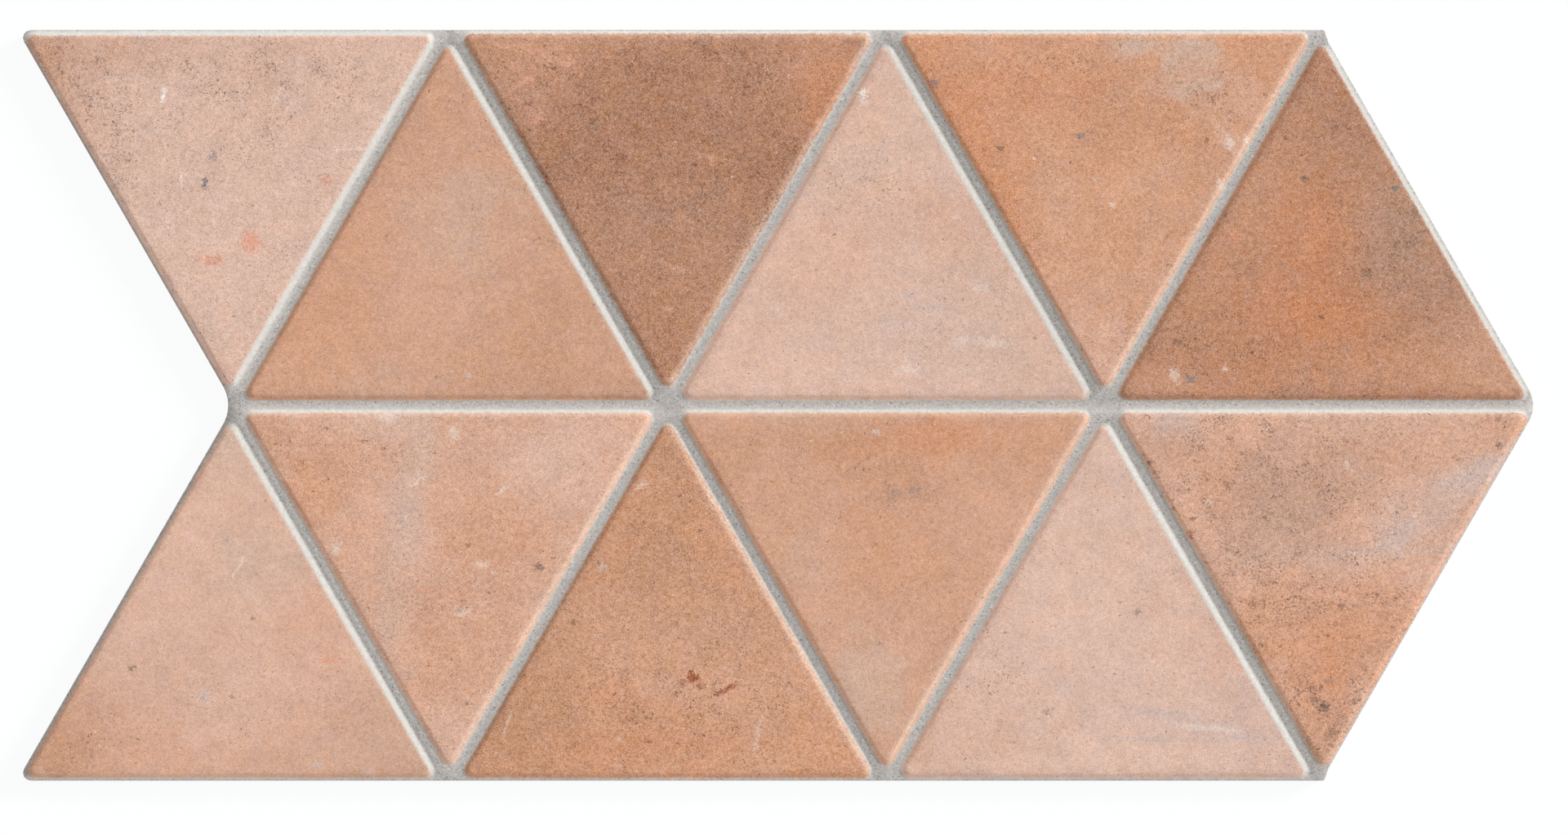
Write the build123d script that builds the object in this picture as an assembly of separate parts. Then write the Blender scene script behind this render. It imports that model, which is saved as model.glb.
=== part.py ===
"""Arrow-shaped floor and wall tile whose face is pressed into two rows of raised triangles.

One fired piece, in millimetres: +X runs from the notched tail to the pointed nose, +Y across
the two rows, +Z up out of the face. The origin is the middle of the box at the bedding side.
"""
from build123d import *
from math import cos, radians, sqrt, tan
import os

# Layout of the triangles, on a lattice of equal sides
TRIANGLE_PITCH = 162.5      # side of one lattice triangle, groove middle to groove middle
TRIANGLES_PER_EDGE = 3      # lattice sides along each long edge
LAID_JOINT = 2.0            # gap left between two tiles, so each edge is set back half of it

# Thickness
TILE_THICKNESS = 9.5        # bedding side to the top of the raised triangles
PAD_HEIGHT = 1.4            # raised triangle above the groove floor

# Raised triangles and the grooves between them
GROOVE_FLOOR = 3.0          # flat width at the bottom of a groove
PAD_CORNER_RADIUS = 3.5     # corner of a triangle, at its foot
PAD_DRAFT = 48.0            # lean of a triangle's sides from upright, in degrees
PAD_EDGE_RADIUS = 2.4       # rounding between a triangle's sides and its top

# Outline of the tile
TAIL_CORNER_RADIUS = 3.0    # the two sharp corners beside the notch
NOSE_RADIUS = 12.0          # the pointed end
SHOULDER_RADIUS = 0.8       # the two blunt corners behind the nose
SHOULDER_REACH = 1.1        # how far a blunt corner swells out to meet the neighbours
SHOULDER_RUN = 5.5          # length of the sloping edge over which it swells
RIM_ROUND = 0.4             # upper edge of the side wall
FOOT_CHAMFER = 0.8          # lower edge of the side wall

# Keyed bedding side
BED_RIM = 9.0               # plain border round the keyed field
RIB_PITCH = 20.0            # middle to middle of the ribs
RIB_WIDTH = 6.0             # at the bed
KEY_DEPTH = 0.8             # channels between the ribs
KEY_CORNER_RADIUS = 1.5     # corners of a channel

NODE = "triangle_tile"
ROW_HEIGHT = TRIANGLE_PITCH * sqrt(3) / 2
FLOOR_Z = TILE_THICKNESS - PAD_HEIGHT
LEAN = tan(radians(30))     # run along X of a sloping edge for each millimetre across

# The set-back edges: the notch and nose lie on the middle line, the long edges at the half width
HALF_WIDTH = ROW_HEIGHT - LAID_JOINT / 2
NOTCH_X = LAID_JOINT / sqrt(3)
NOSE_X = TRIANGLES_PER_EDGE * TRIANGLE_PITCH - NOTCH_X


def sloping_x(on_middle_line, across):
    """X of a sloping edge, or a line beside it, at a distance across from the middle line."""
    return on_middle_line - abs(across) * LEAN


def tile_outline():
    """Arrow outline at the set-back edges, with a notch that takes the nose of the next tile."""
    swell_y = HALF_WIDTH - SHOULDER_RUN * sqrt(3) / 2
    swell = (sloping_x(NOSE_X, swell_y), swell_y)
    shoulder = (sloping_x(NOSE_X, HALF_WIDTH) + SHOULDER_REACH, HALF_WIDTH)
    tail = (sloping_x(NOTCH_X, HALF_WIDTH), HALF_WIDTH)
    upper = [swell, shoulder, tail]
    lower = [(x, -y) for x, y in reversed(upper)]
    face = make_face(Polyline((NOSE_X, 0), *upper, (NOTCH_X, 0), *lower, close=True))
    roundings = [((NOSE_X, 0), NOSE_RADIUS), ((NOTCH_X, 0), NOSE_RADIUS + LAID_JOINT)]
    for side in (1, -1):
        roundings.append(((shoulder[0], side * HALF_WIDTH), SHOULDER_RADIUS))
        roundings.append(((tail[0], side * HALF_WIDTH), TAIL_CORNER_RADIUS))
    for point, radius in roundings:
        corner = face.vertices().sort_by_distance(Vector(*point))[0]
        face = fillet(corner, radius)
    return face


def raised_triangle():
    """One pad, pointing along +Y, with its foot on the groove floor and centred on its cell."""
    inscribed = ROW_HEIGHT / 3 - GROOVE_FLOOR / 2
    foot = RegularPolygon(inscribed, 3, major_radius=False, rotation=90)
    foot = fillet(foot.vertices(), PAD_CORNER_RADIUS)
    pad = extrude(foot, PAD_HEIGHT, taper=PAD_DRAFT)
    return fillet(pad.faces().sort_by(Axis.Z)[-1].edges(), PAD_EDGE_RADIUS)


def pad_places():
    """Where each pad stands and which way it points, row by row from tail to nose."""
    places = []
    for side in (1, -1):
        for step in range(2 * TRIANGLES_PER_EDGE):
            points_outward = step % 2 == 1
            x = step * TRIANGLE_PITCH / 2
            y = ROW_HEIGHT * (1 / 3 if points_outward else 2 / 3)
            turn = 0 if points_outward == (side > 0) else 180
            places.append(Pos(x, side * y, FLOOR_Z) * Rot(0, 0, turn))
    return places


def key_channels():
    """Shallow channels along the bedding side, kept inside a plain border."""
    border_x = BED_RIM / cos(radians(30))
    channels = []
    for index in range(int(HALF_WIDTH / RIB_PITCH) + 1):
        near = index * RIB_PITCH + RIB_WIDTH / 2
        far = min(near + RIB_PITCH - RIB_WIDTH, HALF_WIDTH - BED_RIM)
        if far - near < 3 * KEY_CORNER_RADIUS:
            continue
        corners = [(sloping_x(NOTCH_X + border_x, y), y) for y in (near, far)]
        corners += [(sloping_x(NOSE_X - border_x, y), y) for y in (far, near)]
        strip = make_face(Polyline(*corners, close=True))
        strip = fillet(strip.vertices(), KEY_CORNER_RADIUS)
        channel = extrude(strip, amount=KEY_DEPTH, dir=(0, 0, 1))
        channels += [channel, mirror(channel, about=Plane.XZ)]
    return channels


def build_tile():
    """The whole tile as one solid, centred over the origin."""
    slab = extrude(tile_outline(), amount=FLOOR_Z, dir=(0, 0, 1))
    slab = fillet(slab.faces().sort_by(Axis.Z)[-1].edges(), RIM_ROUND)
    slab = chamfer(slab.faces().sort_by(Axis.Z)[0].edges(), FOOT_CHAMFER)
    slab = slab - key_channels()
    pad = raised_triangle()
    tile = slab + [place * pad for place in pad_places()]
    middle = tile.bounding_box().center()
    return Pos(-middle.X, -middle.Y, 0) * tile


tile = build_tile()
os.makedirs("parts", exist_ok=True)
export_step(tile, f"parts/{NODE}.step")
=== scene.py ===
"""Look of the arrow-shaped triangle tile: shaped face, printed clay colours, light and camera."""

from math import atan2, ceil, cos, hypot, pi, radians, sin, sqrt, tan

import bpy
import numpy as np
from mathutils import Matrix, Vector
from mathutils.geometry import delaunay_2d_cdt


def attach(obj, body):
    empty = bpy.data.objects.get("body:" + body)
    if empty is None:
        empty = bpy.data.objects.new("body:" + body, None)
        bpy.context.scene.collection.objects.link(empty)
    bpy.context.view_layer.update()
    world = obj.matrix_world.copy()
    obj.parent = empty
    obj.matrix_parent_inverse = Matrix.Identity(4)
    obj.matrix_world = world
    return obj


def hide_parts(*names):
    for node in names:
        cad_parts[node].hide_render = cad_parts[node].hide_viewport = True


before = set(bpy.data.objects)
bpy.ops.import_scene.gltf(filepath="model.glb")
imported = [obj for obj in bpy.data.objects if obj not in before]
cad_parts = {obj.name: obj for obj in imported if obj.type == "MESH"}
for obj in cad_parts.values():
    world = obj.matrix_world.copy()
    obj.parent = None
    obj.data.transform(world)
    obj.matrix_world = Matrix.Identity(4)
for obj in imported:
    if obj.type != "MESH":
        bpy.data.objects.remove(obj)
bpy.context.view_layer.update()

# Sizes in millimetres, the same as the solid's
PITCH = 162.5
PER_EDGE = 3
LAID_JOINT = 2.0
THICKNESS = 9.5
PAD_HEIGHT = 1.4
GROOVE_FLOOR = 3.0
PAD_CORNER = 3.5
TAIL_CORNER = 3.0
NOSE_RADIUS = 12.0
SHOULDER_RADIUS = 0.8
SHOULDER_REACH = 1.1
SHOULDER_RUN = 5.5
RIM_ROUND = 0.4
FOOT_CHAMFER = 0.8
BED_RIM = 9.0
RIB_PITCH = 20.0
RIB_WIDTH = 6.0
KEY_DEPTH = 0.8
KEY_CORNER = 1.5

# Softer forms of the shown tile, in millimetres
FLANK_RUN = 2.75  # run of a pad's side from its foot to its top
FLANK_LEAD = 0.1  # how far outside the foot that run begins
SWELL_RADIUS = 4.0  # where a sloping edge starts to swell towards a shoulder
KEY_WALL = 0.35  # run of the sides of a channel in the bedding side
EDGE_WANDER = 0.18  # how far the edges of the pads stray
FACE_HOLLOW = 0.14  # deepest hollow in a pad
HOLLOW_RUN = 4.0  # distance from the foot over which a hollow sets in
EDGE_INSET = 0.04  # keeps the shown tile just inside the solid
FOOT_INSET = FOOT_CHAMFER - 2 * EDGE_INSET

# Fineness of the mesh, in millimetres where nothing else is said
EDGE_STEP = 1.7
FACE_STEP = 2.6
KEY_STEP = 30.0
RING_DEPTHS = (-0.55, 0.0, 0.35, 0.75, 1.15, 1.55, 2.0, 2.5, 3.1, 4.0, 5.4, 7.2)
FIELD_DEPTH = RING_DEPTHS[-1] + 0.6 * FACE_STEP
RIM_TURNS = (30, 60, 90)  # degrees round the rim
WALL_LEVELS = (5.6, 3.8, 2.0)
GROOVE_CLEAR = 0.6  # least gap between the rim and a ring in a groove
FLANK_CLEAR = 0.32  # least gap between the rim and a ring on a pad
SPOT_STEP = (0.36, 0.9)  # finest and coarsest field under a small mark
SPOT_STEP_SHARE = 0.6  # step of that field as a share of the mark's half width
SPOT_FIELD = 1.7  # how many times larger than the mark that field is
SPOT_DEPTH = 4.5  # that field keeps this far inside the foot of a pad
ARC_PIECES = 3  # least number of pieces in a rounded corner
ARC_RADIUS = 1.5  # a smaller corner gets as many pieces as this one
SHARP_RADIUS = 1e-6
SHARP_ANGLE = radians(38)
MERGE_GAP = 1e-6
INSIDE_ONLY = 1  # keeps only triangles inside the outer loop
TINY = 1e-9
MM = 1000  # in a metre

ROW = PITCH * sqrt(3) / 2
FLOOR_Z = THICKNESS - PAD_HEIGHT
LEAN = tan(radians(30))
HALF_WIDTH = ROW - LAID_JOINT / 2
NOTCH_X = LAID_JOINT / sqrt(3)
NOSE_X = PER_EDGE * PITCH - NOTCH_X
TAIL_X = NOTCH_X - HALF_WIDTH * LEAN
TAIL_TIP = TAIL_X + TAIL_CORNER * (sqrt(3) - 1)
NOSE_TIP = NOSE_X - NOSE_RADIUS * (2 / sqrt(3) - 1)
MIDDLE_X = (TAIL_TIP + NOSE_TIP) / 2
INSCRIBED = ROW / 3 - GROOVE_FLOOR / 2
NOSE_PAD = 2 * PER_EDGE - 1

# The picture's own scale, used to place the marks on the face and the camera
PHOTO_SIZE = (1920, 1023)
PHOTO_MM = 0.3037  # millimetres to a pixel
PHOTO_MIDDLE = (952.75, 496.5)

# Noise over the face, then its uses: size of the largest blobs in millimetres, seed, layers
NOISE_TABLE = 256  # side of the square of random values
NOISE_START = (100.37, 100.71)
LAYER_FADE = 0.55  # strength of a layer against the one before
LAYER_SUM = 1.6  # brings the sum of the layers back to about 1
WANDER_NOISE = (14, 11, 3)
HOLLOW_NOISE = (34, 23, 3)
CLOUD_NOISE = ((22, 41, 4), (22, 51, 4))
SPOT_NOISE = ((2.2, 61, 2), (2.2, 71, 2))
PATCH_NOISE = (14, 81, 5)
BROAD_NOISE = (26, 101, 5)
WARMTH_NOISE = (11, 111, 3)

# Colours of the print, as sRGB
TONES = {
    "pink clay": (220, 187, 171),
    "peach clay": (215, 173, 150),
    "ochre clay": (209, 164, 138),
    "orange clay": (208, 157, 126),
    "brown clay": (187, 141, 115),
    "pink": (220, 185, 167),
    "pale pink": (224, 192, 176),
    "peach": (215, 172, 148),
    "orange": (209, 157, 126),
    "deep orange": (205, 140, 101),
    "red": (219, 148, 118),
    "rust": (158, 92, 68),
    "tan": (194, 148, 119),
    "umber": (177, 131, 105),
    "brown": (158, 115, 90),
    "grey brown": (172, 142, 124),
    "pale grey": (206, 183, 168),
    "lavender": (203, 184, 177),
    "apricot": (219, 168, 140),
    "white": (234, 222, 212),
    "chalk": (246, 242, 236),
    "soot": (112, 92, 82),
    "slate": (128, 124, 128),
}
SPECK_TONE = (102, 77, 64)
FLAKE_TONE = (92, 72, 62)
FLECK_TONE = (242, 224, 210)
GROUT_TONE = (184, 179, 174)
GROUT_CREAM = (195, 192, 186)
DARK_SAND = (92, 91, 90)
LIGHT_SAND = (226, 226, 224)
BODY_TONE = (203, 176, 150)
DARK_BODY = (150, 122, 100)
LIGHT_BODY = (226, 206, 184)

# Colours and tints in linear light
INK_DEPTH = (0.96, 0.925, 0.905)
# Colour of the painted highlight on the lit flanks
HIGHLIGHT_TONE = (0.82, 0.69, 0.58)
GRAIN_TINT = (0.76, 0.57, 0.46)
WARM_SHIFT = (0.008, -0.003, -0.013)
WARMTH_TINT = (0.4, -0.3, -1.0)

# How clouds and spots are laid
MARK_FALL = 0.8  # how fast a mark thins out from its middle
CLOUD_WARP = 3.5  # millimetres by which the edges of clouds stray
SPOT_WARP = 0.5  # the same for small marks
CLOUD_SOFT = 0.55  # share of a cloud that is a smooth wash
PATCH_MIDDLE = 0.95  # strength of that wash, with its swing and its most
PATCH_SWING = 0.9
PATCH_MOST = 1.5
BROAD_SWING = 0.06  # broad light and dark over the face
WARMTH_SWING = 0.05  # warm and cool patches over the face
GRIT_MOST = 1.2

# Painted highlight, light and shade on the flanks, in millimetres inside a foot: start, run of the rise,
# end, run of the fading
HIGHLIGHT_BAND = (0.3, 1.2, 4.6, 2.6)
HIGHLIGHT_POWER = 1.5  # how fast the painted highlight thins out
FLANK_LIGHT_BAND = (0.0, 0.5, 3.0, 1.4)
SHADE_BAND = (1.2, 1.0, 5.5, 2.5)
SIDE_BLEND = 1.2  # how wide the sides of a pad blend at its corners

# Painted shade and light on pads and grooves, with lengths in millimetres
SOFT_SHADE = 0.07  # painted shade inside the shaded sides of a pad
JOINT_SHADE = 0.24  # painted shadow on the floor of the grooves that fall to the right
FLOOR_FADE = 0.7  # that painted shadow ends this far inside a foot
MIDDLE_SHADE = 0.1  # painted shade on the upper half of the long middle groove
MIDDLE_HALF = 1.6  # half the width over which that turns to painted light on the lower half
MIDDLE_REACH = 6.0
NOSE_LIGHT = 0.18  # painted light on the grout at the nose
NOSE_SPREAD = 5.0
PRINT_WRAP = 1.6  # how far below the groove floor the print reaches
PRINT_FADE = 1.2  # length over which it gives way to the bare body

# Values below the face, where the print wraps over the edge of the tile
WALL_VALUES = {
    "depth": -0.5, "climb": 0, "grit": 0.3, "groove_light_and_shade": 1, "grain": 1, "cloud_share": 0, "spot_share": 0,
}

# Noise in the surface: grain in millimetres, shift that sets it apart, detail, roughness
NOISE_TURN = (radians(35), radians(25), radians(20))
NOISES = {
    "fine": (0.45, 1, 2, 0.6),
    "medium": (1.6, 2, 3, 0.65),
    "gathering": (11, 3, 4, 0.7),
    "specks": (0.8, 4, 3, 0.7),
    "flakes": (2, 5, 4, 0.75),
    "flecks": (1.2, 6, 3, 0.7),
    "sand": (0.75, 7, 3, 0.7),
    "torn": (7, 8, 7, 0.7),
    "chipped": (0.9, 9, 3, 0.75),
    "mottle": (8, 10, 5, 0.7),
    "cement": (1.4, 11, 3, 0.7),
    "ragged": (1.3, 12, 3, 0.7),
    "warmth": (6, 13, 5, 0.7),
}

# How values are moved from one range to another: from low, from high, to low, to high
RANGES = {
    "torn edge": (0.25, 0.75, -0.34, 0.34),
    "cloud cover": (0.42, 0.76, 0, 0.75),
    "chipped edge": (0.3, 0.7, -0.42, 0.42),
    "spot cover": (0.34, 0.76, 0, 0.9),
    "fine grain": (0.2, 0.8, -0.19, 0.19),
    "medium grain": (0.2, 0.8, -0.1, 0.1),
    "mottle": (0.25, 0.75, 0.93, 1.07),
    "warmth": (0.3, 0.7, -1, 1),
    "gathering": (0.4, 0.6, 0.1, 1.1),
    "specks": (0.64, 0.71, 0, 0.56),
    "flakes": (0.67, 0.71, 0, 0.65),
    "flecks": (0.65, 0.7, 0, 0.5),
    "cream": (-0.5, 0.6, 0, 1),
    "sand by depth": (-0.3, 0.9, 1, 0.3),
    "sand by light": (1.02, 1.2, 1, 0.3),
    "dark sand": (0.56, 0.64, 0, 0.6),
    "light sand": (0.35, 0.44, 0.5, 0),
    "cement": (0.25, 0.75, 0.9, 1.1),
    "ragged edge": (0.2, 0.8, -0.45, 0.45),
    "grout cover": (-0.6, 0.5, 0, 1),
    "body": (0.25, 0.75, 0.92, 1.08),
    "dark body": (0.55, 0.66, 0, 0.4),
    "light body": (0.34, 0.43, 0.35, 0),
    "wrap edge": (0.3, 0.7, -0.2, 0.2),
    "wrap cover": (0.35, 0.6, 0, 1),
}
SPECK_GATHER = 0.085
FLAKE_GATHER = 0.07
CLAY_ROUGHNESS = 0.82
CLAY_SPECULAR = 0.2
BUMP_STRENGTH = 0.25
BUMP_DISTANCE = 0.0001

# Floor, light and camera
FLOOR_SPAN = 30
FLOOR_COLOUR = (0.05, 0.051, 0.052, 1)
FLOOR_GLOW_COLOUR = (0.99, 0.995, 1, 1)
FLOOR_GLOW = 0.93
FLOOR_ROUGHNESS = 0.9
ROOM_COLOUR = (1, 1, 1, 1)
ROOM_LIGHT = 0.56
KEY_ENERGY = 3.44
KEY_SPREAD = radians(18)
KEY_RISE = radians(26)
KEY_TURN = radians(28)
LENS = 150
SENSOR = 36

# The tables that follow give the upper row of pads and then the lower one, each from tail to nose
GROUNDS = (
    "pink clay", "ochre clay", "brown clay", "pink clay", "orange clay", "brown clay",
    "peach clay", "peach clay", "orange clay", "ochre clay", "pink clay", "peach clay",
)

# How strong the grain is on each pad
GRAIN = (1.1, 0.85, 1.08, 0.92, 1.08, 1.02, 0.8, 1.1, 1.15, 0.85, 0.88, 1.15)

# How much dark grit each pad shows all over
GRIT = (0.5, 0.25, 0.75, 0.15, 0.55, 0.55, 0.1, 0.35, 0.5, 0.3, 0.35, 0.75)

# How far the grey of the grooves climbs each pad, in millimetres from its foot: flat side, left, right
JOINT_CLIMB = (
    (1.7, 0.2, 2.1), (0.3, 0.6, 2.5), (0.9, 0.5, 0.6), (0.3, 0.3, 2.6), (1, 0.6, 0.5), (0.4, 0.15, 2),
    (0.5, 0.7, 2.4), (1.3, 0.4, 0.5), (0.4, 0.6, 0.8), (1.2, 0.4, 0.3), (0.5, 0.4, 2.7), (1.3, 0.5, 0),
)

# Painted light and shade in the grooves along each side of a pad: how much lighter or darker they are
JOINT_LIGHT = (
    (0.16, 0, 0.12), (0, -0.08, -0.04), (0.26, 0.12, 0),
    (0, -0.08, -0.08), (0.2, 0.08, 0), (0, -0.12, -0.07),
    (0.04, -0.4, -0.02), (0.1, 0.25, 0), (0.06, -0.1, 0),
    (0.08, 0.12, 0), (0.08, -0.08, 0), (0.12, 0.1, 0),
)

# Painted highlight on each side of a pad where it rolls over the edge: how pale it makes the clay
HIGHLIGHT_SIDES = (
    (0, 0, 0.3), (0, 0, 0.35), (0.2, 0, 0.36), (0, 0, 0.3), (0.06, 0, 0.34), (0, 0, 0.05),
    (0, 0, 0.35), (0.14, 0, 0.28), (0, 0, 0.34), (0.14, 0, 0.3), (0, 0, 0.3), (0.14, 0, 0.1),
)

# Painted light on the flank of each side of a pad, and painted shade where the value is below 0
FLANK_LIGHT = (
    (0, 0.3, 0), (0.14, 0, 0), (0, 0.3, 0), (0.14, 0.2, 0), (0, 0.3, 0), (0.14, 0.2, 0),
    (0.14, 0, 0), (0, 0.3, 0), (0.14, 0, -0.14), (0, 0.3, 0), (0.14, 0.2, 0), (0, 0.3, -0.05),
)

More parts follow.
